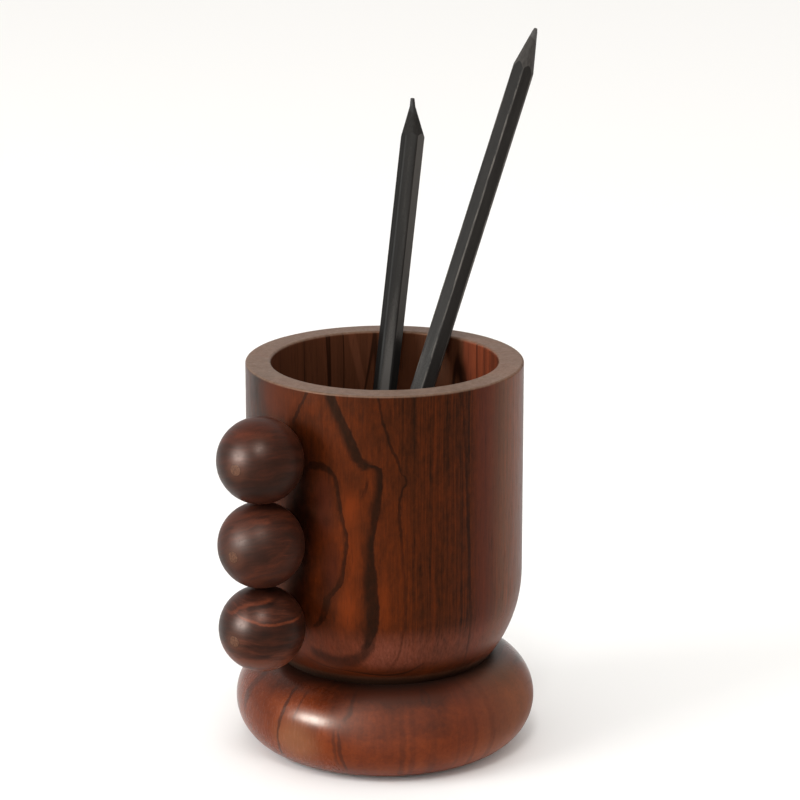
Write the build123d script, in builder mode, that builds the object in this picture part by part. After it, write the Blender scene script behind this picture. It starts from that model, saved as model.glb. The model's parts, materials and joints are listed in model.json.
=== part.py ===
from build123d import *

import math
import os

# Turned hardwood desk cup on a round base, with a column of three wooden beads pegged
# to its side and two black hexagonal pencils leaning in it. Millimetres, +Z up.
# The origin is the centre of the base's underside, on the turning axis, and the beads
# stand on the -X side.

# Base: a thick disc whose whole edge is one half-round.
base_radius = 46.0
base_thickness = 28.7

# Cup: a cylinder on a ball-shaped lower end, bored to an even wall.
cup_radius = 42.0
cup_wall = 7.7
rim_height = 120.8
shoulder_height = 55.2
cup_floor = 9.1
rim_outer_round = 0.6
rim_inner_round = 0.8

# Beads, touching the cup's wall and each other but for a hair of glue.
bead_radius = 12.85
bead_glue = 0.05
bead_top_height = 101.4

# Pegs that hold the beads: each runs from a bead's outer side into the cup's wall.
# Hand-drilled holes stand a little off centre, (sideways, up) for each bead.
peg_radius = 1.7
peg_depth_in_wall = 5.0
peg_offsets = {"top": (-2.1, 0.3), "middle": (-0.8, -0.5), "bottom": (-0.8, -0.7)}

# Hidden dowel that joins the cup to its base.
dowel_radius = 5.0
dowel_depth_in_base = 14.0
dowel_depth_in_cup = 5.5
dowel_end_gap = 0.5
dowel_chamfer = 0.8

# Pencils. Each axis would meet the cup's floor at `foot`, leans by `lean` degrees
# towards the azimuth `heading`, and turns one hexagon edge to the azimuth `seam`, where
# its two slats meet. `off_centre` moves the core, and `point_shift` and `point_tilt`
# move and tip the sharpened point, all towards that edge. The butt's lowest corner
# stays just clear of the floor.
pencil_edge_round = 1.2
core_radius = 1.5
floor_gap = 0.25
sharpener_reach = 1.2  # length of the cutting cone over the pencil's own, so that it holds all of it
pencils = {
    "long": dict(
        foot=(-26.8, -5.7),
        lean=34.7,
        heading=9.9,
        length=205.0,
        across_flats=6.9,
        seam=162.1,
        off_centre=0.0,
        point_shift=0.2,
        point_tilt=0.0,
        point_angle=11.4,
        stub_length=1.2,
        stub_radius=0.88,
        tip_radius=0.55,
    ),
    "short": dict(
        foot=(-1.3, 9.1),
        lean=18.2,
        heading=20.5,
        length=159.7,
        across_flats=6.7,
        seam=123.6,
        off_centre=0.6,
        point_shift=1.4,
        point_tilt=6.4,
        point_angle=16.3,
        stub_length=2.6,
        stub_radius=0.9,
        tip_radius=0.62,
    ),
}

cup_bottom = base_thickness
cup_bore_radius = cup_radius - cup_wall
floor_height = cup_bottom + cup_floor
edge_radius = base_thickness / 2
flat_radius = base_radius - edge_radius
bead_offset = cup_radius + bead_radius + bead_glue
bead_spacing = 2 * bead_radius + bead_glue


def at_angle(radius, angle):
    """Point in the X-Z plane on a circle about the centre of the ball-shaped end."""
    turn = math.radians(angle)
    return (radius * math.cos(turn), shoulder_height + radius * math.sin(turn))


def half_arc(radius, low_height):
    """Start, middle and end of the ball-shaped end's arc, from low_height up."""
    low_angle = -math.degrees(math.asin((shoulder_height - low_height) / radius))
    return at_angle(radius, low_angle), at_angle(radius, low_angle / 2), (radius, shoulder_height)


def save(piece, name):
    """Labels a finished piece and writes its STEP."""
    piece.part.label = name
    export_step(piece.part, f"parts/{name}.step")


os.makedirs("parts", exist_ok=True)

bead_heights = {
    "top": bead_top_height,
    "middle": bead_top_height - bead_spacing,
    "bottom": bead_top_height - 2 * bead_spacing,
}

# Where each bead's peg runs: a plane outside the column, looking towards the cup.
peg_planes = {
    place: Plane(
        origin=(-(bead_offset + bead_radius), side, bead_heights[place] + up),
        x_dir=(0, 1, 0),
        z_dir=(1, 0, 0),
    )
    for place, (side, up) in peg_offsets.items()
}
peg_length = 2 * bead_radius + bead_glue + peg_depth_in_wall

# Cup, turned in one piece.
with BuildPart() as cup:
    with BuildSketch(Plane.XZ) as cup_profile:
        outer_start, outer_middle, outer_end = half_arc(cup_radius, cup_bottom)
        inner_start, inner_middle, inner_end = half_arc(cup_bore_radius, floor_height)
        with BuildLine() as cup_outline:
            Line((0, cup_bottom), outer_start)
            ThreePointArc(outer_start, outer_middle, outer_end)
            Line(outer_end, (cup_radius, rim_height))
            Line((cup_radius, rim_height), (cup_bore_radius, rim_height))
            Line((cup_bore_radius, rim_height), inner_end)
            ThreePointArc(inner_end, inner_middle, inner_start)
            Line(inner_start, (0, floor_height))
            Line((0, floor_height), (0, cup_bottom))
        make_face()
        fillet(cup_profile.vertices().group_by(Axis.Y)[-1].sort_by(Axis.X)[-1], rim_outer_round)
        fillet(cup_profile.vertices().group_by(Axis.Y)[-1].sort_by(Axis.X)[0], rim_inner_round)
    revolve(axis=Axis.Z)
    with BuildSketch(Plane.XY.offset(cup_bottom)):
        Circle(dowel_radius)
    extrude(amount=dowel_depth_in_cup + dowel_end_gap, mode=Mode.SUBTRACT)
    for plane in peg_planes.values():
        with BuildSketch(plane):
            Circle(peg_radius)
        extrude(amount=peg_length, mode=Mode.SUBTRACT)
save(cup, "cup")

# Base.
with BuildPart() as base:
    with BuildSketch(Plane.XZ):
        with BuildLine():
            Line((0, 0), (flat_radius, 0))
            ThreePointArc((flat_radius, 0), (base_radius, edge_radius), (flat_radius, base_thickness))
            Line((flat_radius, base_thickness), (0, base_thickness))
            Line((0, base_thickness), (0, 0))
        make_face()
    revolve(axis=Axis.Z)
    with BuildSketch(Plane.XY.offset(base_thickness)):
        Circle(dowel_radius)
    extrude(amount=-(dowel_depth_in_base + dowel_end_gap), mode=Mode.SUBTRACT)
save(base, "base")

# Hidden dowel between the cup and the base.
with BuildPart() as dowel:
    with BuildSketch(Plane.XY.offset(base_thickness - dowel_depth_in_base)):
        Circle(dowel_radius)
    extrude(amount=dowel_depth_in_base + dowel_depth_in_cup)
    chamfer(dowel.edges().filter_by(GeomType.CIRCLE), dowel_chamfer)
save(dowel, "centre_dowel")

# Beads and their pegs. A peg's outer end follows the bead's own surface.
for place, height in bead_heights.items():
    with BuildPart() as bead:
        with Locations((-bead_offset, 0, height)):
            Sphere(bead_radius)
        with BuildSketch(peg_planes[place]):
            Circle(peg_radius)
        extrude(amount=peg_length, mode=Mode.SUBTRACT)
    save(bead, f"bead_{place}")

    with BuildPart() as peg:
        with Locations((-bead_offset, 0, height)):
            Sphere(bead_radius)
        with BuildSketch(peg_planes[place]):
            Circle(peg_radius)
        extrude(amount=peg_length, mode=Mode.INTERSECT)
        with BuildSketch(peg_planes[place].offset(bead_radius)):
            Circle(peg_radius)
        extrude(amount=peg_length - bead_radius)
    save(peg, f"peg_{place}")


def hexagon_reach(across_flats):
    """Distance from a pencil's axis to the top of its rounded edges."""
    round_centre = (across_flats / 2 - pencil_edge_round) / math.cos(math.radians(30))
    return round_centre + pencil_edge_round


def pencil_plane(size):
    """Plane across a pencil at its butt, with X towards the hexagon edge at azimuth seam."""
    lean = math.radians(size["lean"])
    heading = math.radians(size["heading"])
    seam = math.radians(size["seam"])
    lift = (hexagon_reach(size["across_flats"]) * math.sin(lean) + floor_gap) / math.cos(lean)
    flat = math.sin(lean)
    axis = Vector(flat * math.cos(heading), flat * math.sin(heading), math.cos(lean))
    side = Vector(math.cos(seam), math.sin(seam), 0)
    edge = side - axis * side.dot(axis)
    butt = Vector(*size["foot"], floor_height) + axis * lift
    return Plane(origin=butt, x_dir=edge, z_dir=axis)


def sharpener(butt_plane, size):
    """Everything inside the sharpened point's surface: a long cone and the core's short stub."""
    tilt = math.radians(size["point_tilt"])
    point = Plane(
        origin=butt_plane.from_local_coords((size["point_shift"], 0, size["length"])),
        x_dir=butt_plane.x_dir * math.cos(tilt) - butt_plane.z_dir * math.sin(tilt),
        z_dir=butt_plane.z_dir * math.cos(tilt) + butt_plane.x_dir * math.sin(tilt),
    )
    cone_length = size["length"] * sharpener_reach
    cone_base = size["stub_radius"] + cone_length * math.tan(math.radians(size["point_angle"]))
    section = Plane(origin=point.origin, x_dir=point.x_dir, z_dir=-point.y_dir)
    with BuildPart() as inside:
        with BuildSketch(section):
            with BuildLine():
                Polyline(
                    (0, 0),
                    (size["tip_radius"], 0),
                    (size["stub_radius"], -size["stub_length"]),
                    (cone_base, -size["stub_length"] - cone_length),
                    (0, -size["stub_length"] - cone_length),
                    close=True,
                )
            make_face()
        revolve(axis=Axis(point.origin, point.z_dir))
    return inside.part


def make_pencil(name, size):
    """Two slats and the core between them, sharpened together."""
    butt_plane = pencil_plane(size)
    core_plane = Plane(
        origin=butt_plane.from_local_coords((size["off_centre"], 0, 0)),
        x_dir=butt_plane.x_dir,
        z_dir=butt_plane.z_dir,
    )
    seam_plane = Plane(origin=butt_plane.origin, x_dir=butt_plane.x_dir, z_dir=butt_plane.y_dir)
    inside = sharpener(butt_plane, size)
    for side, keep in {"upper": Keep.TOP, "lower": Keep.BOTTOM}.items():
        with BuildPart() as slat:
            with BuildSketch(butt_plane) as section:
                RegularPolygon(size["across_flats"] / 2, 6, major_radius=False)
                fillet(section.vertices(), pencil_edge_round)
            extrude(amount=size["length"])
            with BuildSketch(core_plane):
                Circle(core_radius)
            extrude(amount=size["length"], mode=Mode.SUBTRACT)
            split(bisect_by=seam_plane, keep=keep)
            add(inside, mode=Mode.INTERSECT)
        save(slat, f"{name}_pencil_{side}_slat")
    with BuildPart() as core:
        with BuildSketch(core_plane):
            Circle(core_radius)
        extrude(amount=size["length"])
        add(inside, mode=Mode.INTERSECT)
    save(core, f"{name}_pencil_core")
    print(name, "pencil axis", butt_plane.z_dir)


for pencil_name, pencil_size in pencils.items():
    make_pencil(pencil_name, pencil_size)
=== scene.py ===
"""Looks of the turned wooden desk cup: wood, pencils, floor, light and camera. Metres, +Z up."""

import json
import math

import bpy
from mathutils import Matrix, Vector


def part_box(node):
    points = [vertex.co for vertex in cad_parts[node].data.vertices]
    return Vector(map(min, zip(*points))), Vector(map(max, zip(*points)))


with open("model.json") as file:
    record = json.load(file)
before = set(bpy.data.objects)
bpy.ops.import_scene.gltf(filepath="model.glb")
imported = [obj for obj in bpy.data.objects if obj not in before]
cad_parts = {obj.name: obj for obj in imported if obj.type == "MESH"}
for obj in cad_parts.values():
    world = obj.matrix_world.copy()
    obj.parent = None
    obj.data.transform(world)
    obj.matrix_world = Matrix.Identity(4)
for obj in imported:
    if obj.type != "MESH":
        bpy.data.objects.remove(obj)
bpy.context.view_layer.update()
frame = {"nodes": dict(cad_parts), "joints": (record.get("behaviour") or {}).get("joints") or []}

# ---------------------------------------------------------------- places, from the frame
MM = 1000.0
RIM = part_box("cup")[1].z * MM
BASE_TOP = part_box("base")[1].z * MM

# The cup's bore, as its part has it.
BORE_RADIUS = 34.3

# The bold figure of the cup faces this azimuth, between the beads and the far side.
FRONT = -139.0


def middle(node):
    """Centre of a node's box, in millimetres."""
    low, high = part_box(node)
    return (low + high) / 2 * MM


def srgb(red, green, blue):
    """Linear colour from display values of 0 to 255."""
    linear = []
    for value in (red, green, blue):
        share = value / 255
        linear.append(share / 12.92 if share <= 0.04045 else ((share + 0.055) / 1.055) ** 2.4)
    return (*linear, 1.0)


# ---------------------------------------------------------------- shader graphs
class Graph:
    """A material's node tree, built by calls that take sockets or plain numbers."""

    def __init__(self, name):
        self.material = bpy.data.materials.new(name)
        self.material.use_nodes = True
        self.tree = self.material.node_tree
        self.tree.nodes.clear()
        output = self.tree.nodes.new("ShaderNodeOutputMaterial")
        self.shader = self.tree.nodes.new("ShaderNodeBsdfPrincipled")
        self.tree.links.new(self.shader.outputs[0], output.inputs[0])

    def put(self, socket, value):
        if isinstance(value, bpy.types.NodeSocket):
            self.tree.links.new(value, socket)
        elif value is not None:
            socket.default_value = value

    def node(self, kind, **settings):
        made = self.tree.nodes.new(kind)
        for key, value in settings.items():
            setattr(made, key, value)
        return made

    def math(self, operation, first, second=None):
        made = self.node("ShaderNodeMath", operation=operation)
        self.put(made.inputs[0], first)
        self.put(made.inputs[1], second)
        return made.outputs[0]

    def chain(self, operation, values):
        """One operation carried through two or more values."""
        result = values[0]
        for value in values[1:]:
            result = self.math(operation, result, value)
        return result

    def add(self, *values):
        return self.chain("ADD", values)

    def mul(self, *values):
        return self.chain("MULTIPLY", values)

    def most(self, *values):
        return self.chain("MAXIMUM", values)

    def sub(self, first, second):
        return self.math("SUBTRACT", first, second)

    def size(self, value):
        return self.math("ABSOLUTE", value)

    def between(self, share, first, second):
        """Number that goes from first to second as share goes from 0 to 1."""
        return self.add(self.mul(first, self.sub(1.0, share)), self.mul(second, share))

    def swing(self, value, amount):
        """Turns a value about 0.5 into one about 0, times an amount."""
        return self.mul(self.sub(value, 0.5), amount)

    def vector(self, operation, first, second=None, scale=None):
        made = self.node("ShaderNodeVectorMath", operation=operation)
        self.put(made.inputs[0], first)
        self.put(made.inputs[1], second)
        if scale is not None:
            self.put(made.inputs["Scale"], scale)
        return made.outputs["Value" if operation in ("LENGTH", "DOT_PRODUCT") else "Vector"]

    def split(self, vector):
        made = self.node("ShaderNodeSeparateXYZ")
        self.put(made.inputs[0], vector)
        return made.outputs[0], made.outputs[1], made.outputs[2]

    def join(self, x, y, z):
        made = self.node("ShaderNodeCombineXYZ")
        for socket, value in zip(made.inputs, (x, y, z)):
            self.put(socket, value)
        return made.outputs[0]

    def fit(self, value, low, high, start=0.0, end=1.0, smooth=False):
        """Carries low..high to start..end, and holds the ends."""
        made = self.node("ShaderNodeMapRange", interpolation_type="SMOOTHSTEP" if smooth else "LINEAR")
        self.put(made.inputs["Value"], value)
        self.put(made.inputs["From Min"], low)
        self.put(made.inputs["From Max"], high)
        self.put(made.inputs["To Min"], start)
        self.put(made.inputs["To Max"], end)
        return made.outputs[0]

    def rise(self, value, low, high):
        """Smooth rise from 0 at low to 1 at high."""
        return self.fit(value, low, high, smooth=True)

    def fall(self, value, low, high):
        """Smooth fall from 1 at low to 0 at high."""
        return self.fit(value, low, high, 1.0, 0.0, smooth=True)

    def band(self, value, low, first, last, high):
        """1 from first to last, fading to 0 at low and at high."""
        return self.mul(self.rise(value, low, first), self.fall(value, last, high))

    def near(self, value, centre, half, reach):
        """1 within half of a centre, fading to 0 at reach from it."""
        return self.fall(self.size(self.sub(value, centre)), half, reach)

    def noise(self, vector, scale=1.0, detail=2.0, rough=0.5):
        """Noise from 0 to 1, about 0.5."""
        made = self.node("ShaderNodeTexNoise")
        self.put(made.inputs["Vector"], vector)
        made.inputs["Scale"].default_value = scale
        made.inputs["Detail"].default_value = detail
        made.inputs["Roughness"].default_value = rough
        return made.outputs["Fac"]

    def sway(self, vector, reach, scale, detail=2.0):
        """Noise from -reach to reach, about 0."""
        return self.swing(self.noise(vector, scale, detail), 2.0 * reach)

    def profile(self, value, points):
        """Smooth function through given (input, output) points."""
        inputs = [point[0] for point in points]
        outputs = [point[1] for point in points]
        low, high = min(inputs), max(inputs)
        bottom, top = min(outputs), max(outputs)
        made = self.node("ShaderNodeFloatCurve")
        line = made.mapping.curves[0]
        while len(line.points) < len(points):
            line.points.new(0.5, 0.5)
        for point, (before, after) in zip(line.points, sorted(points)):
            point.location = ((before - low) / (high - low), (after - bottom) / (top - bottom))
            point.handle_type = "AUTO_CLAMPED"
        made.mapping.update()
        self.put(made.inputs["Value"], self.fit(value, low, high))
        return self.fit(made.outputs[0], 0.0, 1.0, bottom, top)

    def ramp(self, value, *stops):
        """Colour ramp of (place, colour) stops."""
        made = self.node("ShaderNodeValToRGB")
        band = made.color_ramp
        while len(band.elements) < len(stops):
            band.elements.new(0.5)
        for element, (place, colour) in zip(band.elements, stops):
            element.position = place
            element.color = colour
        self.put(made.inputs[0], value)
        return made.outputs[0]

    def mix(self, share, first, second, blend="MIX"):
        made = self.node("ShaderNodeMix", data_type="RGBA", blend_type=blend)
        self.put(made.inputs[0], share)
        self.put(made.inputs[6], first)
        self.put(made.inputs[7], second)
        return made.outputs[2]

    def bump(self, height, distance, normal=None):
        """Bump of a height from 0 to 1 that stands for a distance in millimetres."""
        made = self.node("ShaderNodeBump")
        made.inputs["Distance"].default_value = distance / MM
        self.put(made.inputs["Height"], height)
        self.put(made.inputs["Normal"], normal)
        return made.outputs[0]

    def millimetres(self):
        """Place on the piece in millimetres, in the shared frame at rest."""
        place = self.node("ShaderNodeTexCoord").outputs["Object"]
        return self.vector("SCALE", place, scale=MM)

    def turned(self, vector, azimuth):
        """The place seen with X along an azimuth in degrees, about the turning axis."""
        made = self.node("ShaderNodeVectorRotate", rotation_type="Z_AXIS")
        self.put(made.inputs["Vector"], vector)
        made.inputs["Angle"].default_value = -math.radians(azimuth)
        return made.outputs[0]

    def stretched(self, vector, x, y, z):
        return self.vector("MULTIPLY", vector, (x, y, z))

    def round_place(self, place):
        """(degrees from FRONT, height, distance from the turning axis) of a place."""
        x, y, z = self.split(self.turned(place, FRONT))
        angle = self.mul(self.math("ARCTAN2", y, x), math.degrees(1.0))
        radius = self.vector("LENGTH", self.join(x, y, 0.0))
        return angle, z, radius

    def finish(self, colour, roughness, specular, tint=(1.0, 1.0, 1.0, 1.0), normal=None):
        self.put(self.shader.inputs["Base Color"], colour)
        self.put(self.shader.inputs["Roughness"], roughness)
        self.shader.inputs["Specular IOR Level"].default_value = specular
        self.shader.inputs["Specular Tint"].default_value = tint
        self.put(self.shader.inputs["Normal"], normal)
        return self.material


def paint(node, material):
    """Gives a CAD node its material."""
    piece = frame["nodes"][node]
    piece.data.materials.clear()
    piece.data.materials.append(material)


# ---------------------------------------------------------------- wood
# The highlights and the haze on the dark wood are warm.
CUP_TINT = (1.0, 0.42, 0.22, 1.0)
BASE_TINT = (1.0, 0.66, 0.50, 1.0)
BEAD_TINT = (1.0, 0.56, 0.42, 1.0)
PENCIL_TINT = (1.0, 0.80, 0.70, 1.0)


def vein(graph, across, along, path, half, soft, fade=1.5, strength=1.0):
    """Line in the wood. path and half give its middle and half its width at each value of
    along, soft is how far its edges fade on its low and its high side, and fade how far its
    ends do."""
    offset = graph.sub(across, graph.profile(along, path))
    half_width = graph.profile(along, half)
    low_edge = graph.mul(half_width, -1.0)
    low_side = graph.rise(offset, graph.sub(low_edge, soft[0]), low_edge)
    high_side = graph.fall(offset, half_width, graph.add(half_width, soft[1]))
    first, last = min(path)[0], max(path)[0]
    ends = graph.band(along, first - fade, first + fade, last - fade, last + fade)
    return graph.mul(low_side, high_side, ends, strength)


def spot(graph, across, along, centre, reach, edge, strength=1.0):
    """Soft-edged patch about a centre, reach wide each way; edge is where it starts to fade."""
    first = graph.mul(graph.sub(across, centre[0]), 1.0 / reach[0])
    second = graph.mul(graph.sub(along, centre[1]), 1.0 / reach[1])
    distance = graph.vector("LENGTH", graph.join(first, second, 0.0))
    return graph.mul(graph.fall(distance, edge, 1.0), strength)


def spots(graph, across, along, table):
    """Patches from rows of (centre, reach, edge, strength)."""
    return graph.most(*(spot(graph, across, along, *row) for row in table))


def rings(graph, place, facing, bend, drift, scale):
    """(Distance across the growth rings, distance beside, height). The rings face an azimuth,
    bend by the square of the distance beside, and wander by up to drift."""
    through, beside, height = graph.split(graph.turned(place, facing))
    wander = graph.sway(graph.stretched(place, 1.0, 1.0, 0.35), drift, scale, 1.0)
    return graph.add(through, graph.mul(beside, beside, bend), wander), beside, height


def streaks(graph, ring_place, scale, detail=2.0, rough=0.55):
    """Bands that follow the growth rings, from their places, and run along the grain."""
    ring, beside, height = ring_place
    place = graph.join(ring, graph.mul(beside, 0.06), graph.mul(height, 0.02))
    return graph.noise(place, scale, detail, rough)


def ring_lines(graph, ring_place, scale, level, half, reach):
    """Wandering dark lines that follow the growth rings by themselves."""
    return graph.near(streaks(graph, ring_place, scale, 1.0), level, half, reach)


def pores(graph, place, along_grain):
    """Short dark dashes of open pores, stretched along the grain by the given scales."""
    return graph.rise(graph.noise(graph.stretched(place, *along_grain), 1.0, 2.0, 0.6), 0.56, 0.70)


# ---------------------------------------------------------------- cup
# Patches in front as (centre, reach, edge, strength), placed by (degrees from FRONT, height in
# millimetres).
CUP_GLOW = [
    ((-15.0, 56.0), (7.0, 12.0), 0.1, 1.0),
    ((0.0, 57.0), (4.0, 12.0), 0.2, 0.5),
    ((-14.0, 86.0), (6.0, 9.0), 0.1, 1.0),
    ((-12.0, 72.0), (4.0, 14.0), 0.1, 0.6),
    ((-48.0, 116.0), (18.0, 9.0), 0.3, 0.5),
]
CUP_SMOKE = [
    ((-25.0, 86.0), (7.0, 14.0), 0.2, 1.0),
    ((-22.0, 67.0), (6.0, 13.0), 0.2, 0.9),
]
# Dark patches of the figure; the first, beside the beads, is a painted shadow that the beads cast on the
# cup.
CUP_DARK_AND_BEAD_SHADOW = [
    ((-36.0, 78.0), (13.0, 42.0), 0.2, 0.95),
    ((-25.0, 57.0), (8.0, 14.0), 0.1, 0.6),
    ((-24.0, 82.0), (4.0, 2.2), 0.2, 0.25),
    ((-3.5, 86.0), (4.5, 5.5), 0.2, 0.85),
    ((-8.0, 100.0), (4.0, 2.2), 0.4, 0.9),
    ((-7.0, 48.0), (6.0, 9.0), 0.1, 0.5),
]

# Dark veins that climb the front, as (height, degrees from FRONT) paths.
CUP_CLIMBING = {
    "bold": dict(
        path=[(41, -8.5), (46, -5.8), (49, -4.6), (55, -4.2), (65, -5.0), (75, -5.0), (80, -4.0),
              (88, -2.4), (93, -1.4), (97, -1.2), (99.5, -3.5), (100.5, -8.0), (102, -10.5),
              (105, -12.0), (110, -15.0), (116, -19.0), (122, -22.5), (128, -26.0)],
        half=[(41, 0.5), (46, 1.0), (51, 1.8), (60, 1.9), (70, 0.9), (80, 0.4), (86, 0.9),
              (92, 0.35), (97, 0.35), (100.5, 1.4), (104, 1.4), (112, 1.2), (128, 1.5)],
        soft=(3.4, 0.8), fade=3.0, strength=0.96,
    ),
    "curl": dict(
        path=[(48, -30.0), (53, -25.0), (57, -24.0), (60, -21.0), (63, -18.0), (67, -16.5),
              (72, -15.5), (77, -15.0), (82, -16.5), (88, -18.0), (93, -19.0), (97, -20.5)],
        half=[(48, 0.9), (56, 1.3), (62, 0.7), (75, 0.35), (90, 0.4), (97, 0.4)],
        soft=(1.6, 0.4), strength=0.8,
    ),
    "slant": dict(
        path=[(110, -39.5), (115, -36.0), (122, -31.0)], half=[(110, 0.5), (122, 0.4)],
        soft=(0.8, 0.6), strength=0.8,
    ),
    "seam": dict(
        path=[(33, 41.0), (42, 39.0), (50, 38.0), (60, 37.0), (73, 36.5), (85, 35.5), (95, 35.0),
              (108, 34.0), (122, 32.5)],
        half=[(33, 0.2), (60, 0.35), (85, 0.3), (122, 0.15)],
        soft=(0.5, 0.8), strength=0.62,
    ),
    "tick": dict(
        path=[(90, -8.5), (95, -6.5)], half=[(90, 0.5), (95, 0.2)], soft=(0.6, 0.6), strength=0.6,
    ),
}

# A thin vein that climbs too, and pales towards its foot.
CUP_WANDER = dict(
    path=[(31, -11.0), (33, -4.0), (34.5, 2.0), (37, 4.0), (43, 7.0), (50, 8.0), (60, 8.0),
          (70, 7.5), (78, 7.0), (85, 6.0), (92, 7.0), (95, 9.0), (98, 6.5), (102, 5.0), (105, 3.0),
          (110, 1.0), (115, -1.0), (122, -2.5)],
    half=[(31, 0.5), (60, 0.15), (85, 0.3), (92, 0.2), (98, 0.05), (103, 0.3), (122, 0.15)],
    soft=(0.6, 0.5), strength=0.8,
)

# Dark veins that run round the front, as (degrees from FRONT, height) paths.
CUP_CROSSING = {
    "loop": dict(
        path=[(-34, 39.5), (-28, 38.0), (-20, 37.0), (-14, 38.0), (-9, 40.5), (-5, 44.0), (-3, 48)],
        half=[(-34, 0.5), (-20, 1.0), (-9, 1.1), (-3, 0.9)],
        soft=(2.4, 2.4), fade=2.0, strength=0.72,
    ),
    "arch": dict(
        path=[(-36, 94.0), (-33, 96.5), (-29, 98.6), (-24, 98.2), (-19, 94.0)],
        half=[(-36, 0.9), (-29, 0.8), (-19, 0.3)],
        soft=(1.2, 1.0), strength=0.8,
    ),
}

# A pale line that slants up the back of the bore, as a (height, degrees from FRONT) path.
BORE_SLASH = dict(
    path=[(90, -173.0), (121, -162.0)], half=[(90, 0.5), (121, 1.5)], soft=(1.5, 1.5), strength=0.22,
)


def cup_strands(graph, place, angle, height, mottle, fleck, patchy):
    """Tone of the straight grain in front, plain at the left and lively at the right."""
    leaning = graph.add(angle, graph.sway(graph.stretched(place, 1.0, 1.0, 0.3), 1.6, 0.05, 1.0))
    strand = graph.noise(graph.join(leaning, graph.mul(height, 0.02), 0.0), 0.6, 4.0, 0.72)
    lively = graph.profile(angle, [(-60, 0.5), (-35, 0.2), (0, 0.25), (9, 0.8), (50, 0.95), (80, 0.6)])
    uneven = graph.profile(angle, [(-60, 0.6), (-20, 0.6), (4, 0.3), (15, 0.15), (80, 0.15)])
    return graph.add(
        0.5,
        graph.swing(strand, graph.mul(lively, 1.1)),
        graph.swing(fleck, 0.3),
        graph.swing(mottle, 0.5),
        graph.swing(patchy, uneven),
    )


def cup_shading(graph, angle, height, before):
    """How much lighter or darker the wood gets round the cup, and up and down its front; the lighter right
    edge is a painted reflection.
    """
    # Tone round the cup; the lift at its right edge is a painted reflection of the white surroundings.
    round_tone_and_edge_reflection = graph.profile(angle, [
        (-180, -0.03), (-100, 0.0), (-60, -0.16), (-45, -0.05), (-25, 0.04), (-8, 0.0), (2, -0.04),
        (12, -0.08), (25, -0.1), (36, -0.1), (48, -0.04), (60, 0.1), (70, 0.18), (85, 0.06), (180, -0.03),
    ])
    lower = graph.mul(
        graph.profile(height, [(30, 0.02), (60, 0.04), (85, 0.03), (98, 0.0), (121, 0.0)]),
        graph.profile(angle, [(-60, 1.0), (-5, 1.0), (18, -0.8), (50, -0.8), (90, 0.0)]),
    )
    upper = graph.mul(
        graph.profile(height, [(85, 0.0), (98, -0.05), (121, -0.08)]),
        graph.profile(angle, [(-60, 1.0), (4, 1.0), (13, 1.8), (21, 1.0), (90, 0.3)]),
    )
    return graph.add(round_tone_and_edge_reflection, graph.mul(graph.add(lower, upper), before))


def cup_patches(graph, colour, places, before, fleck, patchy):
    """Lays the warm, purplish and smoky patches of the front over a colour, with a painted reflection of
    the base and floor low down and a painted reflection making the right edge greyer.
    """
    across, along, angle, height = places
    glow = spots(graph, across, along, CUP_GLOW)
    colour = graph.mix(graph.mul(glow, before, 0.6), colour, srgb(108, 42, 10))
    purple = graph.band(across, 36.0, 44.0, 46.0, 60.0)
    colour = graph.mix(graph.mul(purple, before, 0.5), colour, srgb(76, 33, 24))
    smoky = graph.mul(spots(graph, across, along, CUP_SMOKE), graph.fit(patchy, 0.35, 0.6, 0.35, 1.0))
    colour = graph.mix(graph.mul(smoky, before, 0.75), colour, srgb(62, 27, 20))
    # Painted reflection of the base and floor: a lighter, greyer band low on the front.
    foot_reflection = graph.mul(
        graph.band(height, 32.0, 37.5, 43.0, 50.0),
        before,
        graph.fit(fleck, 0.3, 0.7, 0.2, 0.5),
        graph.profile(angle, [(-60, 0.8), (-14, 0.8), (-3, 1.8), (7, 1.6), (20, 1.1)]),
    )
    colour = graph.mix(foot_reflection, colour, srgb(108, 58, 44))
    # Painted reflection of the white surroundings: greyer and paler towards the right edge.
    greyer_right = graph.mul(graph.rise(across, 44.0, 60.0), before, 0.22)
    return graph.mix(greyer_right, colour, srgb(118, 92, 72))


def cup_bore(graph, tone, angle, height):
    """The bore's duller wood, with a painted pool of light on its right and the pale line at its back."""
    bore = graph.ramp(tone, (0.3, srgb(64, 35, 21)), (0.7, srgb(84, 47, 30)))
    # Painted light: a warm lit patch on the bore's right wall.
    stripes = graph.noise(graph.join(angle, graph.mul(height, 0.03), 5.0), 0.3, 3.0, 0.6)
    lit_patch = graph.ramp(
        stripes,
        (0.36, srgb(88, 42, 27)), (0.52, srgb(110, 52, 32)), (0.7, srgb(130, 63, 38)),
    )
    bore = graph.mix(graph.band(angle, 90.0, 98.0, 133.0, 137.0), bore, lit_patch)
    return graph.mix(vein(graph, angle, height, **BORE_SLASH), bore, srgb(126, 74, 52))


def cup_figure_and_bead_shadow(graph, across, along):
    """The wood's dark markings in front, and the painted shadow that the beads cast."""
    climbing = [vein(graph, across, along, **look) for look in CUP_CLIMBING.values()]
    crossing = [vein(graph, along, across, **look) for look in CUP_CROSSING.values()]
    wander = graph.mul(vein(graph, across, along, **CUP_WANDER), graph.fit(along, 68.0, 92.0, 0.5, 1.0))
    return graph.most(*climbing, *crossing, wander, spots(graph, across, along, CUP_DARK_AND_BEAD_SHADOW))


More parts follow.
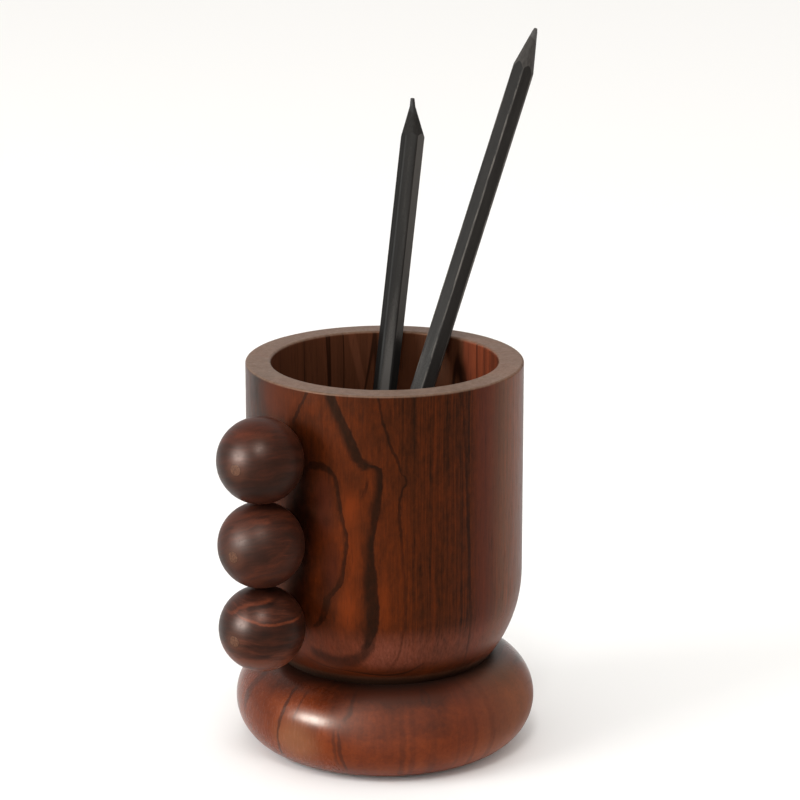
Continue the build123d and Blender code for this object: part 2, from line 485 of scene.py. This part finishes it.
def cup_material():
    graph = Graph("cup_wood")
    place = graph.millimetres()
    angle, height, radius = graph.round_place(place)
    across = graph.add(angle, graph.sway(graph.stretched(place, 1.0, 1.0, 0.5), 0.7, 0.9, 3.0))
    along = graph.add(height, graph.sway(place, 0.8, 0.6, 2.0))

    # 1 on the outside near FRONT, where the figure is placed, and 0 elsewhere.
    before = graph.mul(graph.fall(graph.size(angle), 66.0, 86.0), graph.rise(radius, 35.0, 39.0))
    mottle = graph.noise(graph.stretched(place, 1.0, 1.0, 0.5), 0.55, 5.0, 0.75)
    fleck = graph.noise(graph.stretched(place, 1.0, 1.0, 0.12), 1.3, 3.0, 0.65)
    patchy = graph.noise(graph.stretched(place, 1.0, 1.0, 0.55), 0.1, 3.0, 0.6)

    # Growth rings behind, close together where they meet the surface edge on.
    ring_place = rings(graph, place, FRONT - 15.0, 0.004, 4.0, 0.035)
    broad = streaks(graph, ring_place, 0.28)
    fine = streaks(graph, ring_place, 1.5, 3.0)
    behind_tone = graph.mul(graph.add(broad, fine), 0.5)
    front_tone = cup_strands(graph, place, angle, height, mottle, fleck, patchy)
    tone = graph.between(before, behind_tone, front_tone)
    colour = graph.ramp(
        graph.add(tone, cup_shading(graph, angle, height, before)),
        (0.16, srgb(20, 8, 4)), (0.34, srgb(49, 19, 6)), (0.52, srgb(68, 26, 7)),
        (0.70, srgb(88, 33, 8)), (0.9, srgb(116, 48, 15)),
    )
    colour = cup_patches(graph, colour, (across, along, angle, height), before, fleck, patchy)
    inside = graph.fall(radius, BORE_RADIUS + 0.3, BORE_RADIUS + 0.9)
    colour = graph.mix(inside, colour, cup_bore(graph, behind_tone, angle, height))

    # The figure in front with the painted shadow of the beads, broken up by the mottle, and lines along
    # the rings elsewhere.
    broken = graph.fit(mottle, 0.62, 0.4, 0.88, 1.0)
    figure_and_bead_shadow = graph.mul(cup_figure_and_bead_shadow(graph, across, along), broken, before)
    ink = graph.mul(ring_lines(graph, ring_place, 0.16, 0.52, 0.004, 0.018), 0.75, graph.sub(1.0, before))
    colour = graph.mix(graph.most(figure_and_bead_shadow, ink), colour, srgb(12, 5, 3))
    open_pores = pores(graph, place, (3.2, 3.2, 0.16))
    colour = graph.mix(graph.mul(open_pores, 0.35), colour, srgb(24, 10, 6))

    # Painted shade: the cup darkens towards its joint with the base.
    joint = graph.fall(height, BASE_TOP + 0.8, BASE_TOP + 5.5)
    colour = graph.mix(graph.mul(joint, 0.92), colour, srgb(8, 4, 3))

    # The rim's end grain is duller from sanding, and its greyer colour is a painted reflection of the
    # white surroundings.
    rim = graph.rise(height, RIM - 0.7, RIM - 0.1)
    rim_grey_and_reflection = graph.ramp(mottle, (0.35, srgb(101, 80, 66)), (0.65, srgb(124, 103, 88)))
    colour = graph.mix(graph.mul(rim, 0.72), colour, rim_grey_and_reflection)

    rough = graph.add(
        graph.fit(fleck, 0.3, 0.7, 0.32, 0.42),
        graph.mul(rim, 0.1), graph.mul(open_pores, 0.1), graph.mul(joint, 0.5),
    )
    waves = graph.bump(graph.noise(graph.stretched(place, 1.0, 1.0, 0.4), 0.12, 1.0), 0.10)
    normal = graph.bump(graph.mul(graph.sub(fleck, open_pores), 0.5), 0.012, waves)
    return graph.finish(colour, rough, specular=0.12, tint=CUP_TINT, normal=normal)


# ---------------------------------------------------------------- base
# Dark lines across the base's edge, as (height, degrees from FRONT) paths.
BASE_LINES = [
    dict(path=[(2, -46.5), (12, -44.5), (20, -43), (27, -42)], half=[(2, 0.15), (20, 0.4), (27, 0.25)],
         soft=(0.9, 0.6), strength=0.7),
    dict(path=[(16, -68.5), (21, -68), (28, -66)], half=[(16, 0.2), (22, 1.2), (28, 0.4)],
         soft=(2.0, 2.0), strength=0.6),
    dict(path=[(18, -37), (27, -35.5)], half=[(18, 0.1), (27, 0.3)], soft=(0.8, 0.8), strength=0.45),
    dict(path=[(4, -15.5), (12, -17), (18, -17.5)], half=[(4, 0.2), (12, 0.45), (18, 0.1)],
         soft=(0.9, 0.5), strength=0.6),
    dict(path=[(6, -18.5), (12, -19), (18, -19.5)], half=[(6, 0.2), (12, 0.3), (18, 0.1)],
         soft=(0.9, 0.5), strength=0.5),
    dict(path=[(21, -15.5), (24, -13.5), (28, -13.2)], half=[(21, 0.15), (25, 0.35), (28, 0.2)],
         soft=(1.0, 0.8), strength=0.6),
]

# Straight dark bands beside them, as (degrees, half the width, reach, strength).
BASE_BANDS = [
    (6.8, 0.5, 1.6, 1.0), (10.6, 0.5, 1.6, 0.8), (18.6, 0.8, 2.4, 0.75), (29.0, 0.3, 1.4, 0.7),
    (36.6, 0.4, 1.4, 0.9), (45.0, 0.8, 2.2, 0.7),
]


def base_tone(graph, place, across, angle, height, before, behind_tone, fleck):
    """How light the base's wood is, with painted shade darkening its top next to the cup."""
    strand = graph.noise(graph.join(across, graph.mul(height, 0.04), 0.0), 0.2, 4.0, 0.65)
    cloud = graph.noise(graph.stretched(place, 1.0, 1.0, 0.7), 0.09, 3.0, 0.6)
    mottle = graph.noise(graph.stretched(place, 1.0, 1.0, 1.4), 0.5, 5.0, 0.75)
    front_tone = graph.add(
        graph.mul(strand, 0.2), graph.mul(cloud, 0.4), graph.mul(fleck, 0.05), graph.mul(mottle, 0.35),
    )
    tone = graph.between(before, behind_tone, front_tone)
    shoulder = graph.mul(graph.band(angle, -30.0, 5.0, 18.0, 34.0), graph.rise(height, 14.0, 19.0))
    lighter = graph.add(
        spot(graph, angle, height, (-38.0, 22.5), (18.0, 5.5), 0.4),
        graph.mul(graph.rise(angle, 20.0, 32.0), graph.fall(height, 7.0, 14.0)),
    )
    return graph.add(
        tone,
        # Painted shade: darker on top, next to the cup.
        graph.mul(graph.rise(height, 22.0, 28.0), -0.2),
        graph.mul(shoulder, -0.1),
        graph.mul(graph.fall(height, 5.0, 13.0), before, 0.05),
        graph.mul(lighter, before, 0.1),
    )


def base_patches(graph, colour, across, height, before):
    """Lays a pale patch at the left, redder wood and then paler again at the right."""
    pale = spot(graph, across, height, (-36.0, 12.0), (15.0, 10.0), 0.2, 0.55)
    colour = graph.mix(graph.mul(pale, before), colour, srgb(136, 90, 62))
    red = graph.mul(graph.band(across, 24.0, 36.0, 48.0, 62.0), graph.rise(height, 7.0, 18.0))
    colour = graph.mix(graph.mul(red, before, 0.45), colour, srgb(78, 28, 16))
    greyer_right = graph.mul(graph.rise(across, 22.0, 70.0), before, 0.35)
    return graph.mix(greyer_right, colour, srgb(116, 86, 66))


def base_marks(graph, across, height):
    """Dark lines and bands across the front of the edge, and a small pin knot."""
    lines = [vein(graph, across, height, **look) for look in BASE_LINES]
    bands = graph.most(*(
        graph.mul(graph.near(across, centre, half, reach), strength)
        for centre, half, reach, strength in BASE_BANDS
    ))
    bands = graph.mul(bands, graph.fit(height, 6.0, 22.0, 0.45, 0.16))
    from_knot = graph.vector("LENGTH", graph.join(graph.sub(across, 18.0), graph.sub(height, 26.2), 0.0))
    return graph.most(*lines, bands, graph.mul(graph.near(from_knot, 1.5, 0.3, 1.0), 0.5))


def base_material():
    graph = Graph("base_wood")
    place = graph.millimetres()
    angle, height, radius = graph.round_place(place)
    across = graph.add(angle, graph.sway(graph.stretched(place, 1.0, 1.0, 0.6), 1.2, 0.35, 3.0))
    before = graph.mul(graph.fall(graph.size(angle), 70.0, 95.0), graph.rise(radius, 26.0, 32.0))
    fleck = graph.noise(graph.stretched(place, 1.0, 1.0, 0.16), 1.1, 3.0, 0.65)
    ring_place = rings(graph, place, FRONT + 75.0, 0.003, 3.0, 0.03)
    broad = streaks(graph, ring_place, 0.16)
    fine = streaks(graph, ring_place, 0.7, 3.0)
    behind_tone = graph.mul(graph.add(broad, fine), 0.5)
    colour = graph.ramp(
        base_tone(graph, place, across, angle, height, before, behind_tone, fleck),
        (0.28, srgb(58, 22, 9)), (0.45, srgb(88, 35, 13)), (0.55, srgb(103, 43, 16)),
        (0.75, srgb(130, 60, 25)),
    )
    colour = base_patches(graph, colour, across, height, before)

    ink = graph.mul(ring_lines(graph, ring_place, 0.12, 0.5, 0.004, 0.02), 0.6)
    marks = graph.between(before, ink, base_marks(graph, across, height))
    colour = graph.mix(marks, colour, srgb(40, 17, 11))
    open_pores = pores(graph, place, (2.6, 2.6, 0.22))
    colour = graph.mix(graph.mul(open_pores, 0.14), colour, srgb(44, 19, 11))
    # Painted shade: the base darkens where it meets the cup.
    joint = graph.mul(graph.fall(radius, 32.8, 39.5), graph.rise(height, 23.0, 27.0))
    colour = graph.mix(graph.mul(joint, 0.8), colour, srgb(16, 7, 4))

    # Rubbed to a gloss at the left of the figure, low down and next to the cup, and duller on
    # the shoulder to the right.
    dulled = graph.mul(
        graph.band(angle, -28.0, 2.0, 60.0, 100.0),
        graph.profile(height, [(0, 0.2), (4, 0.2), (19, 1.0), (22, 1.0), (28, 0.3)]),
    )
    rough = graph.add(
        graph.fit(fleck, 0.3, 0.7, 0.23, 0.29),
        graph.mul(open_pores, 0.06), graph.mul(dulled, 0.5), graph.mul(joint, 0.1),
    )
    waves = graph.bump(graph.noise(place, 0.07, 1.0), 0.15)
    normal = graph.bump(graph.mul(graph.sub(fleck, open_pores), 0.5), 0.008, waves)
    return graph.finish(colour, rough, specular=0.16, tint=BASE_TINT, normal=normal)


# ---------------------------------------------------------------- beads and pegs
# For each bead, in millimetres from its centre: how its bands tip, how much lighter or darker
# they are by height, how far the rest of the grain parts, the colour of its lightest lines, how
# much duller it is polished, and its pale lines, dark lines and shaded patches, placed by
# (sideways, up) as FRONT sees them. A line is (path, half its width, how far it fades,
# strength), a patch (centre, reach, where it starts to fade, strength).
BEADS = {
    "top": dict(
        slope=0.2, turn=0.10, contrast=0.8, lightest=srgb(70, 30, 19), dull=0.03,
        bands=[(-13, 0.04), (-6, -0.04), (0, 0.0), (5, 0.03), (9, 0.16), (13, 0.12)],
        pale=[([(-8, 9.0), (-2, 9.8), (5, 9.4)], 0.1, 1.2, 0.1)],
        dark=[([(-6, -3.0), (0, -3.4), (7, -2.6), (11, -1.0)], 0.3, 1.4, 0.3)],
        shade=[((0.0, -5.8), (9.0, 4.5), 0.1, 0.45), ((5.0, 2.0), (5.0, 2.5), 0.1, 0.3)],
    ),
    "middle": dict(
        slope=0.5, turn=0.15, contrast=0.7, lightest=srgb(82, 37, 20), dull=0.1,
        bands=[(-13, 0.1), (-7, 0.08), (-3, 0.0), (1, 0.04), (5, 0.12), (9, 0.16), (13, 0.18)],
        pale=[([(-9, 6.0), (-5, 8.6), (0, 9.8), (4, 9.4)], 0.1, 1.0, 0.14),
              ([(2, -1.5), (6, 0.5), (10, 4.0)], 0.1, 1.3, 0.07)],
        dark=[([(-6, 4.0), (0, 4.6), (6, 3.6)], 0.2, 1.0, 0.3)],
        shade=[((0.8, 0.6), (5.0, 3.4), 0.1, 0.55), ((3.0, -8.0), (7.0, 2.6), 0.1, 0.35)],
    ),
    "bottom": dict(
        slope=-0.05, turn=0.05, contrast=1.0, lightest=srgb(84, 42, 27), dull=0.01,
        bands=[(-13, 0.34), (-8, 0.32), (-5, 0.16), (-1, 0.02), (2, -0.08), (4, 0.0), (7, 0.08),
               (9, 0.1), (11.5, -0.1), (13, -0.14)],
        pale=[([(-7, 7.0), (-4.9, 6.2), (-2.5, 5.8), (0, 5.2), (4.3, 4.8), (8.5, 4.7), (12, 5.0)],
               0.1, 0.5, 0.42),
              ([(-11, 7.2), (-9.2, 7.0), (-6, 8.8), (-3.6, 9.7), (0.8, 10.5), (4, 11)], 0.1, 0.6, 0.24)],
        dark=[([(-5, 8.0), (-3.6, 8.7), (0.8, 9.6), (5, 10.1)], 0.25, 0.6, 0.7),
              ([(-8, -2.2), (-3.2, -1.3), (0.8, -1.6), (6.3, -1.9), (10, -2.2)], 0.15, 0.6, 0.55),
              ([(-11, -3.2), (-9.3, -3.7), (-3.6, -4.6), (0, -4.9), (4, -4.7)], 0.35, 1.0, 0.6)],
        shade=[((1.5, 2.5), (4.0, 1.8), 0.1, 0.75), ((7.0, 2.6), (6.0, 1.6), 0.1, 0.4)],
    ),
}


def line(graph, across, along, path, half, soft, strength):
    """Line of one width along a path of (along, across) points."""
    first, last = min(path)[0], max(path)[0]
    ends = graph.band(along, first, first + 2.0, last - 2.0, last)
    body = graph.near(across, graph.profile(along, path), half, half + soft)
    return graph.mul(body, ends, strength)


def bead_grain(graph, place, centre, look):
    """(Distance across a bead's bands, place along its grain), with the grain along the peg."""
    x, y, z = graph.split(place)
    ring = graph.add(
        graph.mul(z, math.cos(look["slope"])),
        graph.mul(y, math.sin(look["slope"])),
        graph.mul(x, look["turn"]),
        graph.sway(graph.stretched(place, 0.6, 1.0, 1.0), 1.6, 0.12, 2.0),
    )
    along = graph.join(ring, graph.mul(x, 0.10), graph.mul(y, 0.12))
    return ring, graph.vector("ADD", along, (0.0, centre.z, centre.z * 0.5))


def bead_figure(graph, colour, place, height, mottle, look):
    """Lays a bead's shaded patches, dark lines and pale lines over a colour."""
    _, sideways, _ = graph.split(graph.turned(place, FRONT))
    up = graph.add(height, graph.sway(place, 0.35, 0.5, 3.0))
    patches = spots(graph, sideways, up, look["shade"])
    dark = [line(graph, up, sideways, *row) for row in look["dark"]]
    colour = graph.mix(graph.most(patches, *dark), colour, srgb(13, 7, 6))
    pale = graph.most(*(line(graph, up, sideways, *row) for row in look["pale"]))
    broken = graph.fit(mottle, 0.35, 0.6, 0.5, 1.0)
    return graph.mix(graph.mul(pale, broken), colour, srgb(138, 66, 38))


def bead_end_grain(graph, colour, place, peg):
    """Lays the paler end grain round the peg, and the dark joint about it, over a colour."""
    x, y, z = graph.split(place)
    from_peg = graph.vector("LENGTH", graph.join(0.0, graph.sub(y, peg.y), graph.sub(z, peg.z)))
    pole = graph.mul(graph.fall(from_peg, 1.2, 5.0), graph.fall(x, -9.0, -7.0), 0.35)
    colour = graph.mix(pole, colour, srgb(96, 58, 42))
    joint = graph.mul(graph.near(from_peg, 1.75, 0.05, 0.25), 0.5)
    return graph.mix(joint, colour, srgb(30, 17, 12))


def bead_material(bead):
    """Dark wood with bands and lines along the peg."""
    look = BEADS[bead]
    graph = Graph(f"bead_wood_{bead}")
    centre = middle(f"bead_{bead}")
    place = graph.vector("SUBTRACT", graph.millimetres(), tuple(centre))
    _, _, height = graph.split(place)
    ring, grain = bead_grain(graph, place, centre, look)
    broad = graph.noise(grain, 0.42, 2.0, 0.5)
    fine = graph.noise(grain, 1.7, 3.0, 0.6)
    mottle = graph.noise(grain, 0.9, 5.0, 0.75)
    parted = graph.swing(graph.add(graph.mul(broad, 0.6), graph.mul(fine, 0.4)), look["contrast"])
    tone = graph.add(0.5, parted, graph.profile(ring, look["bands"]), graph.swing(mottle, 0.35))
    colour = graph.ramp(
        tone,
        (0.2, srgb(14, 7, 5)), (0.42, srgb(32, 15, 9)), (0.6, srgb(50, 22, 13)),
        (0.8, look["lightest"]),
    )
    colour = bead_figure(graph, colour, place, height, mottle, look)
    colour = bead_end_grain(graph, colour, place, middle(f"peg_{bead}") - centre)
    open_pores = pores(graph, place, (0.3, 3.0, 3.0))
    colour = graph.mix(graph.mul(open_pores, 0.35), colour, srgb(20, 11, 9))
    rough = graph.add(graph.fit(fine, 0.3, 0.7, 0.33, 0.41), graph.mul(open_pores, 0.08), look["dull"])
    normal = graph.bump(graph.sub(fine, open_pores), 0.008)
    return graph.finish(colour, rough, specular=0.15, tint=BEAD_TINT, normal=normal)


def peg_material():
    graph = Graph("peg_wood")
    drawn = graph.stretched(graph.millimetres(), 0.1, 1.0, 1.0)
    grain = graph.noise(drawn, 1.6, 3.0, 0.6)
    specks = graph.rise(graph.noise(drawn, 3.0, 2.0), 0.5, 0.66)
    colour = graph.ramp(grain, (0.3, srgb(62, 37, 25)), (0.7, srgb(98, 63, 44)))
    colour = graph.mix(graph.mul(specks, 0.5), colour, srgb(52, 30, 22))
    rough = graph.fit(specks, 0.0, 1.0, 0.5, 0.62)
    normal = graph.bump(graph.sub(grain, specks), 0.03)
    return graph.finish(colour, rough, specular=0.12, tint=BASE_TINT, normal=normal)


# ---------------------------------------------------------------- pencils
# For each pencil: the azimuth of the hexagon edge where its slats meet, how far the paint has
# worn from its edges, how much lighter or darker the three flats after that edge are, as painted
# light and shade, which one takes a painted sheen of reflected light towards the pencil's foot,
# how much, and how far from its middle that starts across it, how much lighter or darker the
# point and the core are cut, and how glossy the paint is.
PENCILS = {
    "long": dict(
        seam=162.1, wear=0.62, flats=(0.0, 0.0, 0.0), sheen=(0, 0.5, -8.0), point=0.04, gloss=0.08,
    ),
    "short": dict(
        seam=123.6, wear=0.04, flats=(-0.2, 0.06, 0.56), sheen=(1, 1.2, -1.2), point=-0.26, gloss=0.03,
    ),
}

# How much glossier the core is than the paint.
CORE_GLOSS = 2.0

# Cosine between a normal and a flat's own: below the first it is rounded edge, above the second flat.
FLAT_EDGE = (0.93, 0.97)


def pencil_directions(length):
    """Unit vector along a pencil, and (out of it, across it) for the three flats after its seam."""
    axis = next(Vector(joint["axis"]) for joint in frame["joints"] if joint["child"] == f"{length}_pencil")
    seam = math.radians(PENCILS[length]["seam"])
    edge = Vector((math.cos(seam), math.sin(seam), 0.0))
    edge = (edge - axis * edge.dot(axis)).normalized()
    beside = axis.cross(edge)
    flats = []
    for degrees in (30.0, 90.0, 150.0):
        turn = math.radians(degrees)
        out = edge * math.cos(turn) + beside * math.sin(turn)
        across = beside * math.cos(turn) - edge * math.sin(turn)
        flats.append((out, across))
    return axis, flats


def pencil_shading(graph, length, place, climb, flats, facing):
    """Painted light and shade on each flat, and a painted sheen of reflected light on one towards the
    foot.
    """
    look = PENCILS[length]
    above_rim = graph.rise(climb, RIM - 3.0, RIM + 5.0)
    # Painted light and shade on the flats; the lighter ones fade out below the rim as painted shadow.
    shades = []
    for faced, lighter in zip(facing, look["flats"]):
        reach = above_rim if lighter > 0.0 else 1.0
        shades.append(graph.mul(graph.rise(faced, *FLAT_EDGE), lighter, reach))
    sheen_flat, sheen_amount, start = look["sheen"]
    _, across = flats[sheen_flat]
    core_across = across.dot(middle(f"{length}_pencil_core"))
    from_core = graph.sub(graph.vector("DOT_PRODUCT", place, tuple(across)), core_across)
    painted_sheen = graph.mul(
        graph.profile(climb, [(90, 0.6), (112, 0.5), (125, 0.26), (140, 0.14), (180, 0.03), (230, 0.0)]),
        graph.fit(from_core, start, start + 2.1),
        graph.rise(facing[sheen_flat], *FLAT_EDGE),
        sheen_amount,
    )
    return graph.add(*shades, painted_sheen)


def pencil_material(length):
    """Matte paint, worn along the edges, with dyed wood where the point is cut."""
    look = PENCILS[length]
    axis, flats = pencil_directions(length)
    graph = Graph(f"pencil_coat_{length}")
    place = graph.millimetres()
    normal = graph.node("ShaderNodeTexCoord").outputs["Normal"]
    facing = [graph.vector("DOT_PRODUCT", normal, tuple(out)) for out, _ in flats]
    flatness = graph.most(*(graph.size(faced) for faced in facing))
    climb = graph.vector("DOT_PRODUCT", place, tuple(axis))

    # The same place with its distance along the pencil shortened, so that noise runs along it.
    shortening = graph.vector("SCALE", tuple(axis), scale=graph.mul(climb, 0.9))
    drawn = graph.vector("SUBTRACT", place, shortening)
    cloud = graph.noise(drawn, 0.5, 3.0, 0.6)
    grit = graph.noise(place, 3.5, 3.0, 0.7)
    shading = pencil_shading(graph, length, place, climb, flats, facing)
    colour = graph.ramp(
        graph.add(graph.mul(cloud, 0.5), graph.mul(grit, 0.5), shading),
        (0.1, srgb(13, 13, 12)), (0.3, srgb(22, 21, 20)), (0.7, srgb(40, 38, 36)), (1.0, srgb(74, 71, 68)),
    )

    # Paint worn through along the edges, and small knocks, but none on the cut point.
    cut = graph.rise(graph.vector("DOT_PRODUCT", normal, tuple(axis)), 0.05, 0.12)
    rubbed = graph.mul(
        graph.fall(flatness, *FLAT_EDGE), graph.rise(graph.noise(drawn, 1.1, 4.0, 0.7), 0.36, 0.62),
    )
    knocks = graph.mul(
        graph.fall(flatness, FLAT_EDGE[0], 1.0), graph.rise(graph.noise(place, 1.7, 3.0, 0.6), 0.62, 0.70),
    )
    worn = graph.mul(graph.most(rubbed, knocks), graph.sub(1.0, cut))
    colour = graph.mix(graph.mul(worn, look["wear"]), colour, srgb(108, 102, 96))

    # The sharpened point is cut in fine lines.
    shavings = graph.add(graph.mul(graph.noise(drawn, 2.5, 3.0, 0.6), 0.6), graph.mul(grit, 0.4))
    shaved = graph.ramp(
        graph.add(shavings, look["point"]),
        (0.0, srgb(22, 21, 20)), (0.3, srgb(38, 36, 34)), (0.7, srgb(66, 63, 60)),
    )
    colour = graph.mix(cut, colour, shaved)
    rough = graph.add(graph.fit(grit, 0.3, 0.7, 0.42, 0.56), graph.mul(worn, 0.1))
    normal = graph.bump(graph.mul(graph.sub(grit, worn), 0.5), 0.03)
    return graph.finish(colour, rough, specular=look["gloss"], tint=PENCIL_TINT, normal=normal)


def core_material(length):
    """Black lead, cut to a point and glossier than the paint."""
    look = PENCILS[length]
    graph = Graph(f"pencil_core_{length}")
    grit = graph.noise(graph.millimetres(), 4.0, 3.0, 0.7)
    colour = graph.ramp(
        graph.add(grit, look["point"]),
        (0.0, srgb(24, 23, 23)), (0.3, srgb(44, 43, 42)), (0.7, srgb(80, 78, 76)),
    )
    rough = graph.fit(grit, 0.3, 0.7, 0.40, 0.54)
    specular = CORE_GLOSS * look["gloss"]
    return graph.finish(colour, rough, specular, tint=PENCIL_TINT, normal=graph.bump(grit, 0.03))


# ---------------------------------------------------------------- materials on the pieces
paint("cup", cup_material())
paint("base", base_material())
for bead in BEADS:
    paint(f"bead_{bead}", bead_material(bead))
pegs = peg_material()
for node in ("peg_top", "peg_middle", "peg_bottom", "centre_dowel"):
    paint(node, pegs)
for length in PENCILS:
    coat = pencil_material(length)
    paint(f"{length}_pencil_upper_slat", coat)
    paint(f"{length}_pencil_lower_slat", coat)
    paint(f"{length}_pencil_core", core_material(length))

# ---------------------------------------------------------------- stage
FLOOR_RADIUS = 8.0
FLOOR_CORNERS = 64
floor_mesh = bpy.data.meshes.new("floor")
floor_ring = [math.tau * corner / FLOOR_CORNERS for corner in range(FLOOR_CORNERS)]
floor_mesh.from_pydata(
    [(FLOOR_RADIUS * math.cos(turn), FLOOR_RADIUS * math.sin(turn), 0.0) for turn in floor_ring],
    [],
    [tuple(range(FLOOR_CORNERS))],
)
floor = bpy.data.objects.new("floor", floor_mesh)
bpy.context.scene.collection.objects.link(floor)
floor_white = Graph("floor_white").finish(srgb(248, 247, 245), roughness=0.9, specular=0.0)
floor_mesh.materials.append(floor_white)

world = bpy.data.worlds.new("studio")
bpy.context.scene.world = world
world.use_nodes = True
background = world.node_tree.nodes["Background"]
background.inputs["Color"].default_value = (1.0, 0.99, 0.975, 1.0)
background.inputs["Strength"].default_value = 0.95

# ---------------------------------------------------------------- camera
VIEW_AZIMUTH = math.radians(-49.0)
VIEW_DIP = math.radians(15.58)
VIEW_DISTANCE = 0.9324
VIEW_HEIGHT = 0.35370 + BASE_TOP / MM / 2
VIEW_SIDE = 0.00463

sideways = Vector((math.cos(VIEW_AZIMUTH), math.sin(VIEW_AZIMUTH), 0.0))
away = Vector((-math.sin(VIEW_AZIMUTH), math.cos(VIEW_AZIMUTH), 0.0))


def aim(thing, place, target):
    """Puts a camera or light at a place, looking at a target."""
    thing.location = place
    thing.rotation_euler = (Vector(target) - Vector(place)).to_track_quat("-Z", "Y").to_euler()


lens = bpy.data.cameras.new("camera")
lens.lens = 144.0
lens.sensor_width = 36.0
lens.clip_start = 0.05
lens.clip_end = 50.0
camera = bpy.data.objects.new("camera", lens)
bpy.context.scene.collection.objects.link(camera)
eye = sideways * VIEW_SIDE - away * VIEW_DISTANCE + Vector((0, 0, VIEW_HEIGHT))
gaze = away * math.cos(VIEW_DIP) - Vector((0, 0, math.sin(VIEW_DIP)))
aim(camera, eye, eye + gaze)
bpy.context.scene.camera = camera

# ---------------------------------------------------------------- lights
# The middle of the object, where every light aims.
LIT_POINT = Vector((0, 0, 0.075))

# The highlights are cooler than the light on the wood.
DAYLIGHT = (0.62, 0.86, 1.0)


def soft_light(name, turn, height, distance, size, power, colour=(1.0, 1.0, 1.0), gloss_only=False):
    """A softbox, turned clockwise from the camera's side by degrees, raised by degrees and aimed
    at the cup. A gloss_only one shows in reflections and lights nothing else."""
    made = bpy.data.lights.new(name, "AREA")
    made.shape = "RECTANGLE"
    made.size, made.size_y = size
    made.energy = power
    made.color = colour
    piece = bpy.data.objects.new(name, made)
    piece.visible_diffuse = not gloss_only
    bpy.context.scene.collection.objects.link(piece)
    turn, height = math.radians(turn), math.radians(height)
    towards = (-away * math.cos(turn) - sideways * math.sin(turn)) * math.cos(height)
    towards += Vector((0, 0, math.sin(height)))
    aim(piece, LIT_POINT + towards * distance, LIT_POINT)


soft_light("window", turn=62, height=24, distance=1.5, size=(0.8, 0.9), power=14)
soft_light("window_gloss", turn=57, height=18, distance=1.5, size=(0.62, 0.36), power=120,
           colour=DAYLIGHT, gloss_only=True)
soft_light("overhead", turn=3, height=50, distance=1.6, size=(0.3, 0.3), power=6)
soft_light("overhead_gloss", turn=3, height=46, distance=1.6, size=(0.25, 0.25), power=40,
           colour=DAYLIGHT, gloss_only=True)

bpy.context.scene.view_settings.view_transform = "Standard"
